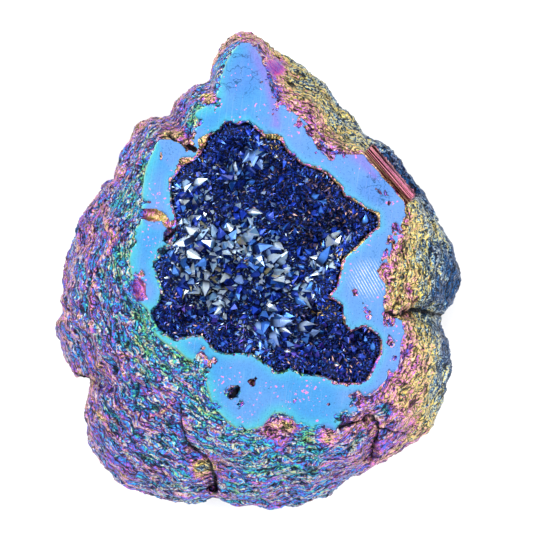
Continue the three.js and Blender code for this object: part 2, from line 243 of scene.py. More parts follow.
def with_modifiers(obj, *kinds):
    """Applies modifiers, each a kind and its settings, and gives the object the finished mesh."""
    for kind, settings in kinds:
        modifier = obj.modifiers.new(kind.title(), kind)
        for name, value in settings.items():
            setattr(modifier, name, value)
    evaluated = obj.evaluated_get(bpy.context.evaluated_depsgraph_get())
    finished = bpy.data.meshes.new_from_object(evaluated)
    obj.modifiers.clear()
    old, obj.data = obj.data, finished
    bpy.data.meshes.remove(old)
    return obj


def add_object(name, data):
    """A new object in the scene."""
    added = bpy.data.objects.new(name, data)
    bpy.context.scene.collection.objects.link(added)
    return added


WELD = ("WELD", {"merge_threshold": 1e-6})  # metres: joins the corners that CAD faces share


def remeshed(node, name, voxel):
    """A copy of a CAD node's mesh, made of small even faces."""
    piece = add_object(name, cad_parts[node].data.copy())
    piece.data.materials.clear()
    return with_modifiers(piece, WELD, ("REMESH", {"mode": "VOXEL", "voxel_size": voxel}))


# ---- the sawn face


def sawn_loops():
    """The edges of the CAD's sawn face as loops of plan points in mm, the longest first."""
    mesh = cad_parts["geode_shell"].data
    points = np.round(vertex_array(mesh), 3)
    lone = {}
    for polygon in mesh.polygons:
        corners = [tuple(points[i]) for i in polygon.vertices]
        if min(corner[2] for corner in corners) < TOP - 0.001:
            continue
        for start, end in zip(corners, corners[1:] + corners[:1]):
            if not lone.pop((end[:2], start[:2]), False):
                lone[start[:2], end[:2]] = True
    follows = dict(lone.keys())
    loops = []
    while follows:
        start, point = follows.popitem()
        loop = [start]
        while point in follows:
            loop.append(point)
            point = follows.pop(point)
        loops.append(np.array(loop))
    return sorted(loops, key=lambda loop: -np.ptp(loop, axis=0).sum())


def plan_gap(points, middle):
    """Distance of points from a place, both seen from above."""
    return np.hypot(points[:, 0] - middle[0], points[:, 1] - middle[1])


def distance_to_loop(plan, loop):
    """Distance from plan points to the nearest edge of a closed loop."""
    nearest = np.full(len(plan), np.inf)
    for start, step in zip(loop, np.roll(loop, -1, axis=0) - loop):
        share = np.clip((plan - start) @ step / max(step @ step, 1e-9), 0, 1)
        gap = plan - start - share[:, None] * step
        nearest = np.minimum(nearest, np.hypot(gap[:, 0], gap[:, 1]))
    return nearest


# Small holes in the sawn face beside the CAD's own: plan place, radius and depth in mm.
PINHOLES = [
    (-1.0, -24.7, 0.8, 1.2),
    (-4.0, -29.6, 0.9, 0.9),
    (-12.0, -17.2, 0.7, 1.0),
    (-12.2, -19.0, 0.7, 1.0),
    (22.0, -4.6, 0.6, 0.7),
    (23.6, -7.2, 0.7, 0.9),
    (30.8, -19.0, 0.6, 0.8),
    (29.8, 15.4, 0.6, 0.7),
    (-9.5, 41.6, 1.2, 0.9),
    (-14.5, 30.5, 1.0, 0.8),
    (21.5, -27.6, 0.7, 0.6),
    (16.0, -29.5, 0.5, 0.5),
]

# The flat break across the rind, beside the sawn face: its upper edge in plan and its tilt.
BREAK_START = np.array([23.3, 27.25])
BREAK_END = np.array([33.05, 16.0])
BREAK_TURN = math.atan2(*(BREAK_END - BREAK_START)[::-1])
BREAK_TILT = math.radians(76)
BREAK_DEPTH = 15  # mm

# How thick the film is round the stone: direction in degrees, and film values beside the sawn face
# and at the girth. Film values run from 0 to 1 through the interference colours.
FILM_ROUND = [
    (-180, 0.88, 0.54),
    (-150, 0.86, 0.56),
    (-125, 0.80, 0.60),
    (-100, 0.84, 0.70),
    (-80, 0.84, 0.68),
    (-65, 0.78, 0.58),
    (-50, 0.52, 0.40),
    (-35, 0.46, 0.12),
    (-20, 0.44, -0.04),
    (0, 0.38, -0.08),
    (20, 0.36, -0.10),
    (40, 0.40, -0.07),
    (60, 0.44, 0.04),
    (80, 0.50, 0.10),
    (105, 0.86, 0.52),
    (125, 0.75, 0.47),
    (150, 0.87, 0.51),
    (180, 0.88, 0.54),
]
GIRTH_LEVEL = 19  # mm
SHOULDER = math.radians(66)  # how far the rind has turned in beside the sawn face

# Spots where the film has a value of its own: plan place and reach in mm, and that value. Among
# them are a smooth facet near the tip and two scars in the face.
FACET = ((4.3, 46.1), 2.8, 0.50)
UPPER_SCAR = ((-22.0, 12.6), 3.4, 0.30)
LOWER_SCAR = ((-25.8, -4.0), 3.0, 0.44)
FILM_SPOTS = [
    FACET,
    ((-12.4, -44.8), 2.6, 0.22),
    UPPER_SCAR,
    ((-17.5, 26.5), 3.5, 0.24),
    ((-12.8, 29.5), 2.5, 0.26),
    ((3.0, 29.3), 2.2, 0.26),
    ((16.5, 4.5), 2.0, 0.28),
    ((15.0, -9.0), 2.6, 0.30),
    LOWER_SCAR,
    ((23.2, -38.7), 3.0, 0.68),
    ((29.5, -34.0), 3.2, 0.62),
    ((27.8, -30.8), 2.0, 0.85),
    ((-19.0, 30.5), 3.0, 0.26),
    ((-10.8, 38.7), 1.8, 0.26),
    ((-2.5, 52.5), 2.5, 0.42),
    ((41.5, 9.0), 4.0, 0.11),
    ((37.0, 10.0), 3.5, 0.20),
    ((43.0, -5.5), 3.5, -0.05),
    ((5.2, -35.9), 4.2, 0.40),
    ((15.4, -36.1), 2.4, 0.38),
]

# Creases in the rind and pits in the face, carved and painted in shade at their deepest: plan
# points and half widths at both ends, in mm.
CREASES = [
    ([(-17.6, -29.8), (-17.1, -34.5), (-15.7, -38.8), (-12.0, -42.0), (-10.5, -44.3)], 0.3, 0.4),
    ([(-10.8, -43.8), (-10.2, -45.6), (-9.7, -47.5), (-9.6, -50.8)], 0.4, 0.5),
    ([(-40.5, -24.6), (-37.3, -25.2)], 0.7, 0.1),
    ([(18.8, -34.6), (21.5, -33.7), (23.8, -32.8)], 0.45, 0.2),
    ([(23.8, -32.8), (25.2, -32.5), (26.4, -33.8), (27.2, -35.3)], 0.15, 0.35),
    ([(27.2, -35.3), (26.8, -37.2), (26.2, -39.5), (26.0, -42.5)], 0.3, 0.1),
    ([(27.2, -35.3), (30.0, -35.9), (34.9, -37.5)], 0.3, 0.1),
    ([(28.8, -8.8), (32.3, -9.3), (35.3, -8.5), (39.3, -9.3), (45.3, -10.8)], 0.2, 0.35),
    ([(-29.8, 10.2), (-31.6, 9.0)], 0.3, 0.1),
    ([(-19.5, 31.0), (-16.5, 29.0), (-13.8, 27.2)], 0.4, 0.5),
    ([(-6.0, -27.9), (-3.9, -25.5)], 0.35, 0.3),
    ([(-1.4, -24.9), (0.0, -23.6)], 0.25, 0.15),
    ([(-20.6, 6.8), (-18.0, 9.6)], 0.3, 0.3),
]

# Parts of the face's edge that are hardly chipped: plan place and reach in mm.
WHOLE_EDGES = [((-3.5, 50.0), 4), ((0.5, 49.5), 3), ((-6.2, 47.3), 4)]

# Violet streaks in the sawn face, in the same form.
FACE_STREAKS = [
    ([(-0.6, 49.5), (1.8, 44.0), (3.6, 38.0), (4.4, 33.0)], 1.2, 0.8),
    ([(22.2, 26.4), (26.4, 21.4)], 1.5, 0.6),
]

# Sharp ridges on the rind, in the same form.
RIDGES = [
    (
        [(-34.0, 15.4), (-33.4, 10.1), (-31.5, 7.8), (-33.4, 4.6), (-36.1, 0.9)]
        + [(-37.3, -6.5), (-37.7, -13.4)],
        0.5,
        0.3,
    ),
    ([(-30.9, -18.6), (-27.5, -19.1), (-24.7, -20.2), (-22.8, -21.8)], 0.3, 0.3),
    ([(-35.5, -32.4), (-32.3, -34.0), (-30.8, -36.1)], 0.3, 0.4),
    ([(-23.7, -32.7), (-19.0, -30.3)], 0.4, 0.4),
    ([(-28.6, 20.5), (-27.0, 23.6), (-26.6, 27.5)], 0.3, 0.3),
]


def film_at(points):
    """Film value of the stone at points in mm."""
    turns = np.degrees(np.arctan2(points[:, 1], points[:, 0]))
    directions, beside_face, at_girth = zip(*FILM_ROUND)
    rise = np.clip((points[:, 2] - GIRTH_LEVEL) / (TOP - GIRTH_LEVEL), 0, 1)
    inward = (1 - np.sqrt(1 - (rise * math.sin(SHOULDER)) ** 2)) / (1 - math.cos(SHOULDER))
    high = np.interp(turns, directions, beside_face)
    film = high + (1 - inward) ** 0.75 * (np.interp(turns, directions, at_girth) - high)
    for middle, reach, value in FILM_SPOTS:
        gap = plan_gap(points, middle) / reach
        share = np.where(points[:, 2] > GIRTH_LEVEL, np.exp(-(gap**4)), 0)
        film += share * (value - film)
    return film


LINE_EDGE = 1.2  # how far a line fades out, in half widths
NEAR_LINE = 2.5  # mm: how far the film changes beside a line
LINE_DEPTH = 8  # mm: lines fade out over this height below the girth


def along_lines(points, lines):
    """How much points lie on any of the lines, and how near they are to one, both from 0 to 1."""
    on_line, near = np.zeros(len(points)), np.zeros(len(points))
    for path, first, last in lines:
        path = np.array(path)
        steps = np.diff(path, axis=0)
        runs = np.concatenate([[0], np.cumsum(np.linalg.norm(steps, axis=1))])
        for start, step, run in zip(path, steps, runs):
            length = np.linalg.norm(step)
            share = np.clip((points[:, :2] - start) @ step / length**2, 0, 1)
            gap = np.linalg.norm(points[:, :2] - start - share[:, None] * step, axis=1)
            width = first + (last - first) * (run + share * length) / runs[-1]
            on_line = np.maximum(on_line, np.exp(-((gap / width / LINE_EDGE) ** 2)))
            near = np.maximum(near, np.exp(-((gap / NEAR_LINE) ** 2)))
    above = smooth_step(points[:, 2], GIRTH_LEVEL - LINE_DEPTH, GIRTH_LEVEL)
    return on_line * above, near * above


STREAK_REACH = 15  # mm: the smaller, the longer the streaks
STREAK_SLOPE = 0.8  # how fast the streaks move outward on their way down


def streaked(points):
    """Places in a space in which even noise runs in streaks round the stone, as its layers do."""
    reach = np.linalg.norm(points[:, :2], axis=1, keepdims=True) + 1e-6
    return np.hstack([points[:, :2] / reach * STREAK_REACH, reach - STREAK_SLOPE * points[:, 2:]])


def ledges(values, steepness):
    """Values turned into flat steps with steep edges between."""
    steps = np.floor(values)
    return steps + smooth_step(values - steps, steepness, 1)


def break_frame(points):
    """How far points lie off the break's plane, and across and along it, in mm."""
    along = np.append(BREAK_END - BREAK_START, 0)
    length = np.linalg.norm(along)
    along /= length
    out = np.array([-along[1], along[0], 0])
    down = out * math.cos(BREAK_TILT) - np.array([0, 0, math.sin(BREAK_TILT)])
    normal = out * math.sin(BREAK_TILT) + np.array([0, 0, math.cos(BREAK_TILT)])
    rel = points - np.append(BREAK_START, TOP)
    return rel @ normal, rel @ down, rel @ along, length


def stone_relief(points, settings):
    """Height of the rind's relief in mm, its grit, and how high points stand in it, from 0 to 1."""
    curved = warped(points, 9, 3.0, 11)
    swell = gradient_noise(points, 8, 3)
    layers = gradient_noise(warped(curved, 4, 1.2, 14), 5.5, 15) * 3.2 + 4
    flakes = ledges(layers, 0.6) - layers
    bark = ridges(streaked(curved), 3.0, 21)
    plates = ridges(warped(points, 4, 1.5, 25), 3.4, 26)
    grit = ridges(streaked(warped(points, 3, 0.9, 31)) * np.array([1.5, 1.5, 1]), 1.7, 41)
    relief = settings.swell * swell + settings.ledge * flakes + settings.grit * grit * 0.6
    relief += settings.ridge * (0.28 * bark + 0.22 * plates - 0.2)
    height = 0.5 + 0.5 * np.clip(0.45 * bark + 0.25 * plates + 0.5 * grit, -1, 1)
    return relief / MM, grit, height


HOLLOW_REACH = 40  # mm from the middle of the mouth: the hollow lies within
HOLLOW_FLOOR = 20  # mm: the hollow lies above
UNDER_LIP = 0.6  # mm: points this near the mouth belong to the hollow too


def points_in_hollow(points, sawn, mouth, from_mouth):
    """Which points belong to the hollow: inside the mouth in plan, and above its floor."""
    inside = BVHTree.FromPolygons([Vector((*p, 0)) for p in mouth], [list(range(len(mouth)))])
    reach = np.linalg.norm(points[:, :2] - mouth.mean(axis=0), axis=1)
    near_hollow = (reach < HOLLOW_REACH) & (points[:, 2] > HOLLOW_FLOOR) & ~sawn
    found = np.zeros(len(points), bool)
    for i in np.flatnonzero(near_hollow):
        hit = inside.ray_cast(Vector((points[i, 0], points[i, 1], -1)), Vector((0, 0, 1)))[0]
        found[i] = hit is not None or from_mouth[i] < UNDER_LIP
    return found


EDGE_DEPTH = 2.5  # mm: the stone is not evened out as much this near the sawn face
LEVEL = 0.1  # mm: how near its height the sawn face is found
FACET_REACH = 2.2  # mm
BREAK_RELIEF = 0.22  # mm: height of the break's stripes
FADE_REACH = 12  # mm: the rim and mouth values reach 1 this far off
LIP_REACH = 1.2  # mm: the painted shade of the hollow fades out this near the mouth
EVEN_DEPTH = 8  # mm below the sawn face: the facet and the scars lie above
STONE_FACES = 195000  # triangles
FINE_DEPTH = 30  # mm below the sawn face: the rind is kept fine above
SHARP_EDGE = math.radians(38)


def face_chips(points, grit, from_rim, from_mouth, beside_break):
    """How far chips at its edges lower the sawn face, in mm, and the lumps behind them."""
    lumps = gradient_noise(points, 3.2, 91) * 1.4 + 0.45 * grit
    chips = -np.clip(lumps - 0.25 - 0.22 * from_rim, 0, 0.7) + np.minimum(0, 0.42 * from_rim - 0.15)
    chips *= 1 - beside_break
    chips *= 1 - np.minimum(1.4 * nearness(points, WHOLE_EDGES), 1)
    at_mouth = 0.30 * grit + gradient_noise(points, 1.6, 95) * 0.5 + 0.9 * from_mouth - 0.35
    at_mouth -= 1.2 * nearness(points, GILT_PLACES)
    return np.minimum(chips, np.clip(at_mouth, -0.9, 0)), lumps


def with_fewer_faces(piece, fine):
    """Leaves out faces that need not be fine, and shades the rest smooth between sharp edges."""
    group = piece.vertex_groups.new(name="coarse")
    for weight, chosen in ((0.0, fine), (1.0, ~fine)):
        group.add(np.flatnonzero(chosen).tolist(), weight, "REPLACE")
    ratio = STONE_FACES / (2 * len(piece.data.polygons))
    decimate = {"ratio": ratio, "vertex_group": "coarse", "vertex_group_factor": 1.0}
    with_modifiers(piece, ("TRIANGULATE", {}), ("DECIMATE", decimate))
    set_vertices(piece.data, np.clip(vertex_array(piece.data), CAD_LOW, CAD_HIGH))
    piece.vertex_groups.clear()
    piece.data.shade_smooth()
    piece.data.set_sharp_from_angle(angle=SHARP_EDGE)
    weighted = {"mode": "FACE_AREA", "weight": 50, "keep_sharp": True}
    return with_modifiers(piece, ("WEIGHTED_NORMAL", weighted))


def dress_stone(settings):
    """The stone as one fine mesh, with relief and the values that its film is coloured by."""
    piece = remeshed("geode_shell", "stone", settings.grain)
    mesh = piece.data
    points, normals = vertex_array(mesh), normal_array(mesh)
    rim, mouth = sawn_loops()[:2]
    sawn = (points[:, 2] > TOP - LEVEL) & (normals[:, 2] > 0.8)
    resting = (points[:, 2] < LEVEL / 2) & (normals[:, 2] < -0.9)
    off, across, along, length = break_frame(points)
    broken = (np.abs(off) < 0.3) & (across > -0.3) & (along > 0.8) & (along < length + 1)
    broken &= points[:, 2] > TOP - BREAK_DEPTH
    from_rim, from_mouth = (distance_to_loop(points[:, :2], loop) for loop in (rim, mouth))
    in_hollow = points_in_hollow(points, sawn, mouth, from_mouth)
    free = ~(sawn | resting | broken)
    below_face = np.clip((TOP - points[:, 2]) / EDGE_DEPTH, 0.1, 1)
    points = even_out(mesh, np.where(free, 0.5 * below_face, 0.0))

    relief, grit, height = stone_relief(points, settings)
    deep, near = along_lines(points, CREASES)
    ridge = along_lines(warped(points, 3, 1.0, 61), RIDGES)[0]
    facet = np.exp(-((plan_gap(points, FACET[0]) / FACET_REACH) ** 8))
    rough = np.where(in_hollow, 0.25, np.where(free, 1.0 - 0.8 * facet, 0.0))
    lines = np.where(free, 0.6 * ridge - 0.6 * deep, 0)
    moved = points + normals * (relief * rough + lines)[:, None]

    beside_break = np.exp(-((off / 4) ** 4)) * ((along > -1) & (along < length + 1))
    chips, lumps = face_chips(points, grit, from_rim, from_mouth, beside_break)
    in_face = TOP + chips - 1.2 * smooth_step(deep, 0.4, 0.8)
    moved[:, 2] = np.where(sawn, in_face, moved[:, 2])
    for *middle, radius, depth in PINHOLES:
        gap = plan_gap(points, middle) + (0.4 * grit + 0.3 * lumps) * radius
        moved[:, 2] -= np.where(sawn, depth * (1 - smooth_step(gap, 0, radius)), 0)
    stripes = gradient_noise(np.stack([across, along * 0.04, off * 0], axis=1), 0.9, 51)
    moved += normals * (broken * stripes * BREAK_RELIEF)[:, None]
    moved = np.clip(moved, CAD_LOW, CAD_HIGH)
    moved[:, 2] = np.where(resting, 0, moved[:, 2])
    set_vertices(mesh, moved)

    lip = np.where(in_hollow | sawn, np.exp(-((from_mouth / LIP_REACH) ** 2)), 0)
    below = np.where(sawn, (TOP - moved[:, 2]) / 0.3, 1)
    film = film_at(points)
    film += np.where(free, near * 0.35 * (0.3 - film), 0)
    film += np.where(free, ridge * 0.8 * (0.3 - film), 0)
    in_pit = sawn & (below > 0.1) & (from_rim > 1.5)
    film = np.where(in_pit, 0.42 + 0.12 * grit - 0.2 * nearness(points, GILT_PLACES), film)
    scars = 0.55 * nearness(points, [(UPPER_SCAR[0], 3.5), (LOWER_SCAR[0], 3)])
    values = {
        "below": np.clip(below, 0, 1),
        "streak": along_lines(points, FACE_STREAKS)[0],
        "broken": broken,
        "film": film,
        "rim": np.clip(from_rim / FADE_REACH, 0, 1),
        "mouth": np.clip(from_mouth / FADE_REACH, 0, 1),
        "crest": height,
        "even": np.where(points[:, 2] > TOP - EVEN_DEPTH, np.maximum(facet, scars), 0),
        # dark is painted shade: the stone inside the hollow, less beside its mouth, and the deepest
        # part of the creases and pits.
        "dark": np.maximum(in_hollow * (1 - 0.8 * lip), smooth_step(deep, 0.25, 0.6)),
    }
    for name, value in values.items():
        set_attribute(mesh, name, value)

    fine_rind = free & ~in_hollow & (points[:, 2] > TOP - FINE_DEPTH) & (normals[:, 2] > -0.3)
    fine_edge = sawn & ((from_rim < 5) | (from_mouth < 1.5) | (below > 0.02))
    return with_fewer_faces(piece, fine_rind | fine_edge | broken)


# ---- the druse


# Parts of the hollow that differ: plan place and reach in mm. Crystals of the bright middle are
# large and silvery, bluer in some clusters and finer in others. Those of the dusty parts are small
# and brown-grey, low down they turn violet, and beside parts of the face they are golden.
BRIGHT_PLACES = [
    ((-12, 6), 7),
    ((-4, 7), 7),
    ((2, 2), 7),
    ((-8, -3), 6),
    ((5, -2), 4),
    ((-14, -1), 5),
    ((-0.2, 27), 2.5),
    ((-4.8, 21.8), 3.2),
    ((2.3, -12.3), 5),
    ((9.8, -5.2), 2.5),
    ((11.5, -14), 2.5),
    ((15.2, 2), 2.5),
    ((17.5, 7.7), 2.2),
    ((-15.4, 17.2), 4),
]
DUSTY_PLACES = [
    ((3.9, 23.4), 4),
    ((9.5, 12.7), 4.5),
    ((11.6, 8.2), 3),
    ((15.2, 19.5), 5),
    ((19, 13), 4),
    ((11, -9), 3),
]
BLUE_PLACES = [
    ((2.8, -12), 7),
    ((12.5, -15), 5),
    ((-4.8, 21.8), 4),
    ((-11.5, 21), 3),
    ((-0.2, 27), 3),
    ((14.5, 9), 2.5),
]
FINE_PLACES = [((-4.8, 2.7), 3.2), ((-9.9, 0), 2.2), ((-8.1, -4.2), 2.5), ((5.5, 18), 4)]
VIOLET_PLACES = [
    ((-16.6, -7.7), 5),
    ((-13.2, -12.3), 5),
    ((-2.9, -16.8), 5),
    ((9.5, -18), 5),
    ((20.9, -20.2), 7),
]
GILT_PLACES = [
    ((-17.5, 26.0), 4),
    ((-12.8, 29.0), 3),
    ((3, 29.3), 2.5),
    ((16.5, 4.5), 2),
    ((15, -9), 2.5),
]

# Middles that crystals point away from, as in a rosette: plan place and reach in mm.
ROSETTES = [((-5.6, 3.4), 13), ((2.5, -9.1), 7), ((15.4, 2.2), 6), ((-4.5, 20.5), 6)]


def nearness(points, places):
    """1 in the middle of any of the places, falling to 0 away from them."""
    best = np.zeros(len(points))
    for (x, y), reach in places:
        gap = (points[:, 0] - x) ** 2 + (points[:, 1] - y) ** 2
        best = np.maximum(best, np.exp(-gap / reach**2))
    return best


def brightness(points):
    """How much points belong to the bright middle of the hollow, from 0 to 1."""
    return np.minimum(1.4 * nearness(points, BRIGHT_PLACES), 1)


BED_GRAIN = 0.7 * MM  # edge length of the bed's faces
BED_TOP = TOP - 0.3  # mm


def druse_bed():
    """The lumpy floor and walls that the crystals grow from."""
    piece = remeshed("crystal_crust", "druse_bed", BED_GRAIN)
    mesh = piece.data
    points = even_out(mesh, np.full(len(mesh.vertices), 0.5))
    set_vertices(mesh, points)
    lumps = 0.5 * gradient_noise(points, 3.5, 71) + 0.3 * ridges(points, 1.8, 72)
    moved = points + normal_array(mesh) * (lumps - 0.1)[:, None]
    moved[:, 2] = np.minimum(moved[:, 2], BED_TOP)
    set_vertices(mesh, moved)
    mesh.shade_smooth()
    return piece


WALL_GAP = 2.6  # mm: crystals need this much room before a wall of the stone
OPEN_TILT = -0.35  # the bed's faces that look further down than this stay bare
ROSETTE_PUSH = 1.8


def bed_places(bed, settings, random):
    """Points tried for a crystal on the open side of the bed, and which way the bed faces there."""
    polygons = bed.data.polygons
    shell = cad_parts["geode_shell"].data
    corners = [Vector(p) for p in vertex_array(shell)]
    wall = BVHTree.FromPolygons(corners, [tuple(f.vertices) for f in shell.polygons])
    centres = np.array([p.center for p in polygons]) / MM
    normals = np.array([p.normal for p in polygons])
    areas = np.array([p.area for p in polygons])
    is_open = np.zeros(len(centres), bool)
    for i in np.flatnonzero(normals[:, 2] > OPEN_TILT):
        start = Vector(centres[i])
        faces_wall = wall.ray_cast(start, Vector(normals[i]), WALL_GAP)[0] is not None
        is_open[i] = not faces_wall and wall.ray_cast(start, Vector((0, 0, 1)))[0] is None
    areas = np.where(is_open, areas, 0)
    chosen = random.choice(len(areas), settings.count, p=areas / areas.sum())
    places = centres[chosen] + random.uniform(-0.35, 0.35, (settings.count, 3))
    ways = 0.8 * normals[chosen] + random.normal(0, 0.35, (settings.count, 3)) + (0, 0, 0.3)
    for middle, reach in ROSETTES:
        away = places[:, :2] - middle
        gap = np.linalg.norm(away, axis=1)[:, None]
        ways[:, :2] += away / reach * ROSETTE_PUSH * np.exp(-((gap / reach) ** 2))
    return places, ways


MOUTH_PITCH = 0.16  # mm between the places tried along the mouth
MOUTH_DEPTHS = (0.7, 4.0)  # mm below the sawn face


def mouth_places(random):
    """Points tried for a crystal just below the mouth of the hollow, all pointing inward."""
    mouth = sawn_loops()[1]
    middle = mouth.mean(axis=0)
    places, ways = [], []
    for start, end in zip(mouth, np.roll(mouth, -1, axis=0)):
        step = end - start
        out = np.array([-step[1], step[0]]) / (np.linalg.norm(step) + 1e-9)
        inward = out if out @ (middle - start) > 0 else -out
        for _ in range(int(np.linalg.norm(step) / MOUTH_PITCH) + 1):
            depth = random.uniform(*MOUTH_DEPTHS)
            plan = start + random.uniform() * step + inward * (0.1 + 0.12 * depth)
            places.append((*plan, TOP - depth))
            ways.append((*inward, random.uniform(0.2, 1.1)))
    return np.array(places), np.array(ways) + random.normal(0, 0.3, (len(ways), 3))


CLOSEST = 0.34  # share of their widths' sum that must lie between two crystals


def crystal_places(bed, settings, random):
    """Where crystals grow, with their ways and widths: the widest first, none too near another."""
    on_bed, at_mouth = bed_places(bed, settings, random), mouth_places(random)
    places, ways = (np.vstack(both) for both in zip(on_bed, at_mouth))
    ways /= np.linalg.norm(ways, axis=1)[:, None]
    bright = brightness(places)
    spread = random.uniform(0, 1, len(places)) ** (15 - 13.6 * bright)
    spread *= (0.6 + 0.4 * bright) * (1 - 0.3 * nearness(places, FINE_PLACES))
    spread[len(on_bed[0]) :] *= 0.5
    widths = settings.small / MM * (settings.large / settings.small) ** spread
    kept = []
    for i in np.argsort(-widths):
        gaps = np.linalg.norm(places[kept] - places[i], axis=1)
        if np.all(gaps >= CLOSEST * (widths[kept] + widths[i])):
            kept.append(i)
    return places[kept], ways[kept], widths[kept]


FILMS = ("navy", "royal", "sky", "steel", "ice", "olive", "violet", "rose", "dust", "gilt")
MOSTLY_DARK = 0.65  # share of the common crystals between navy and royal blue, and not above


def crystal_film(random, s, width, bright, blue, dusty, violet, gilt):
    """The colour of one crystal's film, picked by where the crystal stands."""
    pick, share = random.uniform(size=2)
    if pick < 0.7 * bright * (1 - 0.9 * blue):
        return s["steel"] + share**0.4 * (s["ice"] - s["steel"])
    if pick < (0.78 + 0.1 * blue) * bright + 0.04:
        return s["sky"] + share**3 * (s["ice"] - s["sky"])
    if pick < 0.88 * bright:
        return s["olive"]
    for name, least, widest in (
        ("gilt", 1 - 0.6 * gilt, 1.1),
        ("rose", 0.97 - 0.12 * max(violet, dusty), 0.9),
        ("dust", 1 - 0.6 * dusty, 1.3),
    ):
        if pick > least and width < widest:
            return s[name]
    if pick > 1 - 0.5 * violet and width < 1.8:
        return s["navy"] + share * (s["violet"] - s["navy"])
    if share < MOSTLY_DARK:
        return s["navy"] + share / MOSTLY_DARK * (s["royal"] - s["navy"])
    return s["royal"] + (share - MOSTLY_DARK) / (1 - MOSTLY_DARK) * (s["sky"] - s["royal"])


# Painted light on the crystals: facets turned to this way keep their crystal's full film colour as
# if lit, and the others are painted in shade, dark.
PAINTED_LIGHT_WAY = np.array([-0.3, 0.3, 0.9])
SHADE_TINT = (1.8, 1.1, 0.7, 1.0)  # how fast red, green, blue and alpha fade in the painted shade, which turns the shaded facets blue
LEAST_LIT = 0.03  # share of the film colour left on the facets in painted shade


def shaded_facet_films(mesh, owners, films, bed, random):
    """The colour of each facet: its crystal's film where it is turned to the painted light, and
    painted shade towards the bed's colour where it is turned away.
    """
    normals = np.array([p.normal for p in mesh.polygons])
    turned = normals @ (PAINTED_LIGHT_WAY / np.linalg.norm(PAINTED_LIGHT_WAY))
    turned += random.uniform(-0.6, 0.6, len(normals))
    share = LEAST_LIT + (1 - LEAST_LIT) * smooth_step(turned, 0.25, 0.6)
    return bed + share[:, None] ** SHADE_TINT * (np.array(films)[owners] - bed)


# The corners of a quartz prism: three broad sides and three narrow ones.
CORNER_TURNS = np.radians([0, 80, 120, 200, 240, 320])
PRISM_WIDTH = 1.1  # mm: narrower crystals are points without a prism
ASLANT = np.array([0.36, 0.48, 0.8])  # any way that no crystal points in


def crystal_mesh(place, way, width, random):
    """Corners and faces of a quartz crystal: a six-sided prism under faces that meet in a point."""
    side = np.cross(way, ASLANT)
    side /= np.linalg.norm(side)
    turn = random.uniform(0, 2 * math.pi)
    u = math.cos(turn) * side + math.sin(turn) * np.cross(way, side)
    v = np.cross(way, u)
    radii = width / 2 * random.uniform(0.82, 1.15, 6)[:, None]
    ring = np.cos(CORNER_TURNS)[:, None] * u + np.sin(CORNER_TURNS)[:, None] * v
    foot = place + ring * radii * 0.95 - way * width * 0.45
    shoulder = width * random.uniform(0.0, 0.5)
    tip = shoulder + width * random.uniform(0.75, 1.15)
    lean = random.uniform(-0.15, 0.15, 2) * width
    point = place + way * tip + u * lean[0] + v * lean[1]
    bottom = tuple(range(5, -1, -1))
    around = [(i, (i + 1) % 6) for i in range(6)]
    if width < PRISM_WIDTH:
        return np.vstack([foot, point]), [bottom, *((i, j, 6) for i, j in around)]
    shoulders = shoulder + width * random.uniform(-0.14, 0.14, 6)
    top = place + ring * radii + way * shoulders[:, None]
    sides = [(i, j, j + 6, i + 6) for i, j in around]
    points = [(i + 6, j + 6, 12) for i, j in around]
    return np.vstack([foot, top, point]), [bottom, *sides, *points]


SEED = 8  # of the crystals' places, shapes and films
CRYSTAL_TOP = TOP - 0.1  # mm


def grow_crystals(bed, settings):
    """All the crystals as one mesh of closed solids with flat faces, and their colours."""
    random = np.random.default_rng(SEED)
    places, ways, widths = crystal_places(bed, settings, random)
    kinds = (BLUE_PLACES, DUSTY_PLACES, VIOLET_PLACES, GILT_PLACES)
    zones = [brightness(places), *(nearness(places, kind) for kind in kinds)]
    s = {name: np.array(getattr(settings, name)) for name in FILMS}
    corners, faces, films, rises, owners = [], [], [], [], []
    count = 0
    for place, way, width, *zone in zip(places, ways, widths, *zones):
        points, sides = crystal_mesh(place, way, width, random)
        points[:, 2] -= max(0, points[:, 2].max() - CRYSTAL_TOP)
        corners.append(points)
        faces += [tuple(i + count for i in side) for side in sides]
        count += len(points)
        owners += [len(films)] * len(sides)
        films.append(crystal_film(random, s, width, *zone))
        rises += [0] * 6 + [0.6] * (len(points) - 7) + [1]
    mesh = bpy.data.meshes.new("crystals")
    mesh.from_pydata((np.vstack(corners) * MM).tolist(), [], faces)
    colours = shaded_facet_films(mesh, owners, films, np.array(settings.bed), random)
    layer = mesh.attributes.new("film", "FLOAT_COLOR", "FACE")
    layer.data.foreach_set("color", colours.astype(np.float32).ravel())
    set_attribute(mesh, "rise", rises)
    mesh.shade_flat()
    return add_object("crystals", mesh)


# ---- materials


def add_node(tree, kind, inputs=(), operation=None, output=0, stops=(), **settings):
    """Adds a node with its settings, sets or links its inputs, and gives one of its outputs."""
    node = tree.nodes.new("ShaderNode" + kind)
    if operation:
        node.operation = operation
    for name, value in settings.items():
        setattr(node, name, value)
    for name, value in inputs.items() if isinstance(inputs, dict) else enumerate(inputs):
        if isinstance(value, bpy.types.NodeSocket):
            tree.links.new(value, node.inputs[name])
        else:
            node.inputs[name].default_value = value
    for _ in range(len(stops) - 2):
        node.color_ramp.elements.new(0.5)
    for i, (place, colour) in enumerate(stops):
        node.color_ramp.elements[i].position = place
        node.color_ramp.elements[i].color = colour
    return node.outputs[output]


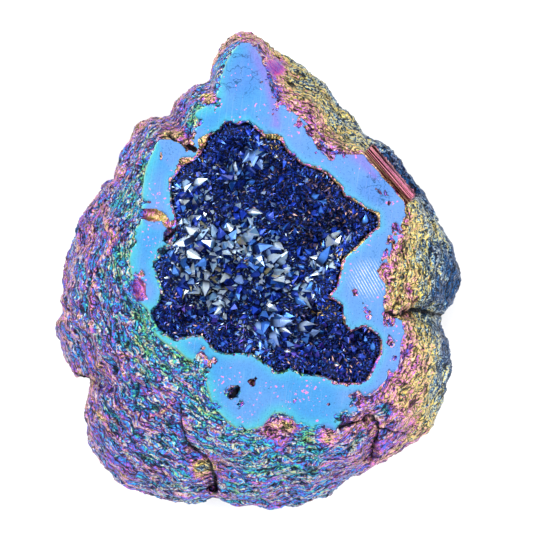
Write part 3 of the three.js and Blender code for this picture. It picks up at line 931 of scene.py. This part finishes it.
def new_material(name, metallic):
    """An empty material: a function that adds nodes, the place in mm, and one that finishes it."""
    material = bpy.data.materials.new(name)
    material.use_nodes = True
    tree = material.node_tree
    tree.nodes.clear()
    add = partial(add_node, tree)
    shader = tree.nodes.new("ShaderNodeBsdfPrincipled")
    shader.inputs["Metallic"].default_value = metallic
    output = tree.nodes.new("ShaderNodeOutputMaterial")
    tree.links.new(shader.outputs[0], output.inputs["Surface"])
    here = add("TexCoord", output="Object")
    place = add("VectorMath", {0: here, "Scale": 1 / MM}, "SCALE")

    def finish(**sockets):
        for socket, value in sockets.items():
            tree.links.new(value, shader.inputs[socket.replace("_", " ")])
        return material

    return add, place, finish


def film_stops(s):
    """The interference colours of the coating, from the thinnest film to the thickest."""
    thin = (s.deep_blue, s.silver, s.gold, s.tan, s.pink)
    thick = (s.violet, s.blue, s.cyan, s.teal, s.green)
    return list(zip((0.0, 0.10, 0.20, 0.31, 0.43, 0.55, 0.67, 0.79, 0.90, 1.0), thin + thick))


# Settings of a Mix node for colours, whose inputs 0, 6 and 7 are the share and the two colours,
# and of a Map Range node with an even curve.
COLOUR = {"output": 2, "data_type": "RGBA"}
SMOOTH = {"interpolation_type": "SMOOTHSTEP"}
WHITE = (1, 1, 1, 1)

# Above 1, a colour is deeper than the film's own: on the rind, and on its even facet.
RIND_DEPTH = 1.25
FACET_DEPTH = 2.8

# Sizes of the film's patterns on the rind, in mm. The finest is drawn coarser than the real grain,
# so that it shows.
WANDER, PATCH, LINES, COARSE, FINE = 3.5, 5, 1.4, 0.9, 0.5


def rind_colour(add, place, s):
    """Film of the rough rind, scattered by its grain, with painted highlight lines and painted
    shade in its troughs and recesses; and the grain itself.
    """
    crest, film, even = (
        add("Attribute", output="Fac", attribute_name=name) for name in ("crest", "film", "even")
    )
    push = add("TexNoise", {"Vector": place, "Scale": 1 / WANDER}, output="Color")
    push = add("VectorMath", [push, (0.5, 0.5, 0.5)], "SUBTRACT")
    curved = add("VectorMath", [push, (2.4, 2.4, 2.4), place], "MULTIPLY_ADD")
    plan = add("VectorMath", [curved, (1, 1, 0)], "MULTIPLY")
    reach = add("VectorMath", [plan], "LENGTH", output="Value")
    height = add("SeparateXYZ", [curved], output="Z")
    slope = add("Math", [height, -STREAK_SLOPE, reach], "MULTIPLY_ADD")
    slope = add("CombineXYZ", {"Z": slope})
    round_stone = add("VectorMath", [plan], "NORMALIZE")
    reach_each = (STREAK_REACH,) * 3
    streaks = add("VectorMath", [round_stone, reach_each, slope], "MULTIPLY_ADD")

    patch, coarse, fine, line, spark = (
        add("TexNoise", {"Vector": vector, "Scale": 1 / size, "Detail": detail, "Roughness": rough})
        for vector, size, detail, rough in (
            (streaks, PATCH, 3, 0.5),
            (streaks, COARSE, 2.5, 0.6),
            (curved, FINE, 2, 0.6),
            (streaks, LINES, 2.5, 0.5),
            (curved, FINE, 1, 0.5),
        )
    )
    spread = add("Math", [film, 0.7, 0.45], "MULTIPLY_ADD", use_clamp=True)
    still = add("MapRange", [even, 0, 1, 1, 0.15])
    spread = add("Math", [spread, still], "MULTIPLY")
    for value, share in ((patch, 0.9), (coarse, 0.9), (fine, 1.3), (crest, -0.30)):
        off = add("Math", [value, 0.5], "SUBTRACT")
        off = add("Math", [off, share], "MULTIPLY")
        film = add("Math", [off, spread, film], "MULTIPLY_ADD")
    colour = add("ValToRGB", [film], stops=film_stops(s))
    colour = add("Gamma", [colour, add("MapRange", [even, 0.6, 1, RIND_DEPTH, FACET_DEPTH])])

    # Painted highlight and painted shadow: one noise gives a thin tan highlight line beside a thin
    # dark shadow line, like a lit ridge with its shadow, drawn in the colour and not in the relief.
    highlight_line, shadow_line = (
        add("Math", [add("Math", [line, level], "SUBTRACT")], "ABSOLUTE")
        for level in (0.56, 0.47)
    )
    highlight_line = add("MapRange", [highlight_line, 0.045, 0.01, 0, 0.62], **SMOOTH)
    highlight_line = add("Math", [highlight_line, even], "SUBTRACT", use_clamp=True)
    thick = add("MapRange", [film, 0, 0.3, 0.2, 1])
    highlight_line = add("Math", [highlight_line, thick], "MULTIPLY")
    colour = add("Mix", {0: highlight_line, 6: colour, 7: s.crest}, **COLOUR)
    grain = add("Math", [fine, 0.4], "MULTIPLY")
    grain = add("Math", [coarse, 0.6, grain], "MULTIPLY_ADD")
    # Painted shade: points low in the relief are darkened towards the crease shade colour, together
    # with random speckle from the grain and the spark noise.
    open_share = add("Math", [crest, 0.5, grain], "MULTIPLY_ADD")
    shade = add("MapRange", [shadow_line, 0.012, 0.05, 0.08, 1], **SMOOTH)
    for value, low, high, least in ((spark, 0.38, 0.54, 0.25), (open_share, 0.52, 0.66, 0.1)):
        value = add("MapRange", [value, low, high, least, 1], **SMOOTH)
        shade = add("Math", [shade, value], "MULTIPLY")
    shade = add("Math", [shade, even], "MAXIMUM")
    return add("Mix", {0: shade, 6: s.crease_shade, 7: colour}, **COLOUR), grain


# Where pink specks crowd in the sawn face: their middle and reach, mm.
SPECKED_PLACES = [(29.5, 15.8, 4), (32, 8.5, 3), (11.5, -26, 5), (-16, -1.5, 3), (-24, 12, 3)]

# Where thin dark veins show in the sawn face: their middle and reach, mm.
VEINED_PLACES = [(-3.5, 44.5, 6.5), (26.5, 18.5, 5)]

# Marks of the saw, where they show: their middle, the way across them and the pitch, mm.
SAW_PLACE = (24.9, -1.6, TOP)
SAW_ACROSS = (0.87, 0.5, 0)
SAW_PITCH = 0.6

# Fine scratches of the polish: their turn, and how short they are each way.
SCRATCH_TURN = math.radians(8)
SCRATCH_SHAPE = (3.0, 0.10, 1)


def face_colour(add, place, s):
    """Even film of the sawn face: bluer and violet inward, cyan beside the rind and the hollow."""
    rim, mouth, film, streak = (
        add("Attribute", output="Fac", attribute_name=name)
        for name in ("rim", "mouth", "film", "streak")
    )
    broad, vein, cluster, spots, micro = (
        add("TexNoise", {"Vector": place, "Scale": 1 / size, "Detail": detail})
        for size, detail in ((14, 2), (2.5, 3), (5, 2), (0.7, 2), (0.45, 1))
    )
    thick = add("MapRange", [film, 0.55, 0.8, 0, 1], **SMOOTH)
    beside, fringe = (
        add("Math", [thick, add("MapRange", [rim, *fade], **SMOOTH)], "MULTIPLY")
        for fade in ((0.30, 0, 0, 0.8), (0.07, 0.01, 0, 0.6))
    )
    vein = add("Math", [add("Math", [vein, 0.5], "SUBTRACT")], "ABSOLUTE")
    vein = add("MapRange", [vein, 0.006, 0.02, 1, 0], **SMOOTH)
    layers = [
        (add("MapRange", [broad, 0.35, 0.65, 0, 0.5], **SMOOTH), s.face_warm),
        (add("MapRange", [film, 0.75, 0.45, 0, 0.55], **SMOOTH), s.face_warm),
        (beside, s.face_edge),
    ]
    for x, y, reach in VEINED_PLACES:
        off = add("VectorMath", [place, (x, y, TOP)], "DISTANCE", output="Value")
        veined = add("MapRange", [off, reach, reach / 2, 0, 1], **SMOOTH)
        for share, over in ((0.45, s.blue), (vein, s.deep_blue)):
            layers.append((add("Math", [veined, share], "MULTIPLY"), over))
    layers += [
        (add("Math", [streak, 0.6], "MULTIPLY"), s.violet),
        (add("MapRange", [mouth, 0.22, 0, 0, 0.5], **SMOOTH), s.face_edge),
        (fringe, s.face_fringe),
    ]
    colour = s.face
    for share, over in layers:
        colour = add("Mix", {0: share, 6: colour, 7: over}, **COLOUR)

    grain = add("MapRange", [micro, 0.3, 0.7, 0.82, 1.0])
    colour = add("Mix", {0: 1, 6: colour, 7: grain}, blend_type="MULTIPLY", **COLOUR)
    speck = add("Math", [cluster, 0.5, spots], "MULTIPLY_ADD")
    for x, y, reach in SPECKED_PLACES:
        off = add("VectorMath", [place, (x, y, TOP)], "DISTANCE", output="Value")
        more = add("MapRange", [off, reach, 0, 0, 0.12], **SMOOTH)
        speck = add("Math", [speck, more], "ADD")
    grained = add("MapRange", [film, 0.8, 0.4, 0.0, 0.05], **SMOOTH)
    fleck = add("Math", [cluster, -0.25, micro], "MULTIPLY_ADD")
    fleck = add("Math", [fleck, grained], "ADD")
    for share, over in (
        (add("MapRange", [speck, 0.95, 1.0, 0, 1]), s.pink),
        (add("MapRange", [fleck, 0.53, 0.62, 0, 0.5]), s.deep_blue),
    ):
        colour = add("Mix", {0: share, 6: colour, 7: over}, **COLOUR)

    turned = add("Mapping", {0: place, "Rotation": (0, 0, SCRATCH_TURN)})
    drawn = add("VectorMath", [turned, SCRATCH_SHAPE], "MULTIPLY")
    scratch = add("TexNoise", {"Vector": drawn, "Scale": 1})
    scratch = add("MapRange", [scratch, 0.55, 0.75, 0, 0.07], **SMOOTH)
    saw = add("VectorMath", [place, SAW_ACROSS], "DOT_PRODUCT", output="Value")
    saw = add("Math", [saw, 2 * math.pi / SAW_PITCH], "MULTIPLY")
    saw = add("Math", [add("Math", [saw], "SINE"), micro], "MULTIPLY")
    off = add("VectorMath", [place, SAW_PLACE], "DISTANCE", output="Value")
    near_saw = add("MapRange", [off, 2.0, 5.5, 0.75, 0], **SMOOTH)
    saw = add("MapRange", [saw, 0.15, 0.5, 0, 1])
    saw = add("Math", [saw, near_saw], "MULTIPLY")
    scratch = add("Math", [scratch, saw], "MAXIMUM")
    return add("Mix", {0: scratch, 6: colour, 7: WHITE}, blend_type="SCREEN", **COLOUR)


FILM_LOSS = (0.19, 0.35)  # share of the light that the film swallows, on the rind and on the face
GRAIN_HEIGHT = 0.8 * MM


def coated_stone_material(s):
    """Agate under a vacuum-deposited metal-oxide film: a satin mirror with interference colours.

    On the rough rind the film's thickness changes with every ridge, which scatters its colours. On
    the polished face it is even, so it stays sky blue.
    """
    add, place, finish = new_material("metal-oxide film on agate", 0.75)
    below, on_break, dark = (
        add("Attribute", output="Fac", attribute_name=name) for name in ("below", "broken", "dark")
    )
    rind, grain = rind_colour(add, place, s)
    sawn = add("Math", [grain, 0.5], "SUBTRACT")
    sawn = add("Math", [sawn, 0.7, below], "MULTIPLY_ADD")
    sawn = add("MapRange", [sawn, 0.22, 0.10, 0, 1], **SMOOTH)
    colour = add("Mix", {0: sawn, 6: rind, 7: face_colour(add, place, s)}, **COLOUR)

    turned = add("Mapping", {0: place, "Rotation": (0, 0, -BREAK_TURN)})
    drawn = add("VectorMath", [turned, (0.03, 0.8, 1.3)], "MULTIPLY")
    height = add("SeparateXYZ", [place], output="Z")
    outer = add("MapRange", [height, TOP - 5, TOP - 8, 0, 0.13], **SMOOTH)
    stripe = add("TexNoise", {"Vector": drawn, "Scale": 1, "Detail": 1})
    stripe = add("Math", [stripe, outer], "ADD")
    stripe = add("MapRange", [stripe, 0.55, 0.70, 0, 1], **SMOOTH)
    line = add("TexNoise", {"Vector": drawn, "Scale": 2.2, "Detail": 0})
    line = add("MapRange", [line, 0.56, 0.62, 0, 0.6], **SMOOTH)
    broken = add("Mix", {0: stripe, 6: s.break_dark, 7: s.break_light}, **COLOUR)
    broken = add("Mix", {0: line, 6: broken, 7: s.tan}, **COLOUR)
    colour, sheen = (
        add("Mix", {0: on_break, 6: under, 7: broken}, **COLOUR) for under in (colour, WHITE)
    )
    # The film's even loss, and painted shade where dark is set: in the hollow and in the creases.
    share = add("MapRange", [sawn, 0, 1, *FILM_LOSS])
    share = add("Math", [share, dark], "MAXIMUM")
    colour = add("Mix", {0: share, 6: colour, 7: s.crease_shade}, **COLOUR)
    relief = add("Math", [grain, add("MapRange", [sawn, 0, 1, 1, 0.02])], "MULTIPLY")
    return finish(
        Base_Color=colour,
        Metallic=add("MapRange", [on_break, 0, 1, 0.75, 1]),
        Specular_Tint=sheen,
        Roughness=add("MapRange", [sawn, 0, 1, 0.34, 0.28]),
        Normal=add("Bump", {"Height": relief, "Distance": GRAIN_HEIGHT}),
    )


def coated_crystal_material(s):
    """Quartz under the same film, on flat faces: a coloured mirror, from deep blue to silver, with
    painted shade low on each crystal.
    """
    add, place, finish = new_material("metal-oxide film on quartz", 0.4)
    colour = add("Attribute", output="Color", attribute_name="film")
    rise = add("Attribute", output="Fac", attribute_name="rise")
    cloud = add("TexNoise", {"Vector": place, "Scale": 1 / 0.8, "Detail": 3})
    for share, over in (
        (add("MapRange", [cloud, 0.45, 0.7, 0, 0.3]), s.royal),
        # Painted shade: the lower part of each crystal darkens towards the bed's colour, down to
        # its feet.
        (add("MapRange", [rise, 0.15, 0.5, 0.95, 0]), s.bed),
    ):
        colour = add("Mix", {0: share, 6: colour, 7: over}, **COLOUR)
    return finish(
        Base_Color=colour,
        Roughness=add("MapRange", [cloud, 0.3, 0.7, 0.08, 0.22]),
        Normal=add("Bump", {"Height": cloud, "Distance": 0.06 * MM, "Strength": 0.5}),
    )


def bed_material(s):
    """Fine coated quartz between the crystals: dark, with glints."""
    add, place, finish = new_material("metal-oxide film on fine quartz", 0.8)
    grain = add("TexNoise", {"Vector": place, "Scale": 1 / 0.6, "Detail": 3, "Roughness": 0.6})
    colours = (s.bed, s.bed, s.navy, s.royal, s.dust, s.rose)
    stops = list(zip((0.0, 0.5, 0.60, 0.68, 0.74, 0.80), colours))
    return finish(
        Base_Color=add("ValToRGB", [grain], stops=stops),
        Roughness=add("MapRange", [grain, 0, 1, 0.3, 0.4]),
        Normal=add("Bump", {"Height": grain, "Distance": 0.6 * MM}),
    )


def floor_material(s):
    """Plain pale paper, matt: it takes soft shadows."""
    add, place, finish = new_material("pale paper", 0.0)
    fibre = add("TexNoise", {"Vector": place, "Scale": 1 / 2})
    shade = add("MapRange", [fibre, 0, 1, 0.98, 1.0])
    colour = add("Mix", {0: 1, 6: s.floor, 7: shade}, blend_type="MULTIPLY", **COLOUR)
    return finish(Base_Color=colour, Roughness=add("MapRange", [fibre, 0, 1, 0.85, 0.95]))


# ---- operators


class GEODE_OT_stone(bpy.types.Operator):
    """Builds the stone: rind, sawn face and hollow"""

    bl_idname = "geode.stone"
    bl_label = "Stone"

    def execute(self, context):
        settings = context.scene.geode_stone
        piece = dress_stone(settings)
        piece.data.materials.clear()
        piece.data.materials.append(coated_stone_material(settings))
        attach(piece, "root")
        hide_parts("geode_shell")
        return {"FINISHED"}


class GEODE_OT_druse(bpy.types.Operator):
    """Builds the crystal crust: its bed and its crystals"""

    bl_idname = "geode.druse"
    bl_label = "Crystal crust"

    def execute(self, context):
        settings = context.scene.geode_druse
        bed = druse_bed()
        crystals = grow_crystals(bed, settings)
        bed.data.materials.append(bed_material(settings))
        crystals.data.materials.append(coated_crystal_material(settings))
        for piece in (bed, crystals):
            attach(piece, "root")
            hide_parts("crystal_crust")
        return {"FINISHED"}


FLOOR_HALF = 1.5  # metres


class GEODE_OT_stage(bpy.types.Operator):
    """Lays the floor, hangs the lights and sets up the camera"""

    bl_idname = "geode.stage"
    bl_label = "Floor, lights and camera"

    def execute(self, context):
        settings = context.scene.geode_stage
        mesh = bpy.data.meshes.new("floor")
        signs = ((-1, -1), (1, -1), (1, 1), (-1, 1))
        corners = [(x * FLOOR_HALF, y * FLOOR_HALF, 0) for x, y in signs]
        mesh.from_pydata(corners, [], [(0, 1, 2, 3)])
        mesh.materials.append(floor_material(settings))
        add_object("floor", mesh)
        light_studio(context.scene, settings)
        aim_camera(context.scene, settings)
        return {"FINISHED"}


# Soft boxes: name, place and side in metres, and brightness.
SOFT_BOXES = [
    ("top", (0.10, 0.20, 1.20), 1.0, 1.8),
    ("key", (-0.50, 0.40, 0.60), 0.6, 7.0),
    ("fill", (0.60, -0.10, 0.50), 0.5, 5.4),
    ("front", (-0.05, -0.60, 0.45), 0.5, 4.4),
]
LIT_POINT = Vector((0, 0, 0.02))
WORLD_LIGHT = 0.34


def light_studio(scene, settings):
    """Soft boxes round the object, and a pale world."""
    for name, place, side, brightness in SOFT_BOXES:
        light = bpy.data.lights.new(name, "AREA")
        light.size = side
        light.energy = math.pi * side**2 * brightness * settings.brightness
        lamp = add_object(name, light)
        lamp.location = place
        lamp.rotation_euler = (LIT_POINT - Vector(place)).to_track_quat("-Z", "Y").to_euler()
    world = bpy.data.worlds.new("studio")
    world.use_nodes = True
    background = world.node_tree.nodes["Background"]
    background.inputs["Color"].default_value = WHITE
    background.inputs["Strength"].default_value = WORLD_LIGHT
    scene.world = world
    scene.view_settings.view_transform = "Standard"


# What the camera sees, in metres: the middle of its view, and how wide that is at the girth.
VIEW_MIDDLE = (0.00218, 0.00123)
VIEW_WIDTH = 0.1238


def aim_camera(scene, settings):
    """The camera looks straight down on the sawn face."""
    data = bpy.data.cameras.new("camera")
    data.lens = settings.lens
    data.clip_end = 10
    distance = VIEW_WIDTH * settings.lens / data.sensor_width
    scene.camera = add_object("camera", data)
    scene.camera.location = (*VIEW_MIDDLE, GIRTH_LEVEL * MM + distance)


class GEODE_PT_panel(bpy.types.Panel):
    """Lists the pieces and their settings"""

    bl_idname = "GEODE_PT_panel"
    bl_label = "Aura geode half"
    bl_space_type = "VIEW_3D"
    bl_region_type = "UI"
    bl_category = "Geode"

    def draw(self, context):
        for name, settings, operator in PARTS:
            box = self.layout.box()
            box.operator(operator.bl_idname)
            for value in settings.__annotations__:
                box.prop(getattr(context.scene, name), value)


PARTS = (
    ("geode_stone", StoneSettings, GEODE_OT_stone),
    ("geode_druse", DruseSettings, GEODE_OT_druse),
    ("geode_stage", StageSettings, GEODE_OT_stage),
)
CLASSES = (*(kind for part in PARTS for kind in part[1:]), GEODE_PT_panel)


def register():
    """Registers the classes and their settings."""
    for kind in CLASSES:
        bpy.utils.register_class(kind)
    for name, settings, _ in PARTS:
        setattr(bpy.types.Scene, name, PointerProperty(type=settings))


def unregister():
    """Takes the classes and settings away again."""
    for name, *_ in PARTS:
        delattr(bpy.types.Scene, name)
    for kind in reversed(CLASSES):
        bpy.utils.unregister_class(kind)


def main():
    """Builds everything in order."""
    register()
    bpy.ops.geode.stone()
    bpy.ops.geode.druse()
    bpy.ops.geode.stage()


if __name__ == "__main__":
    main()
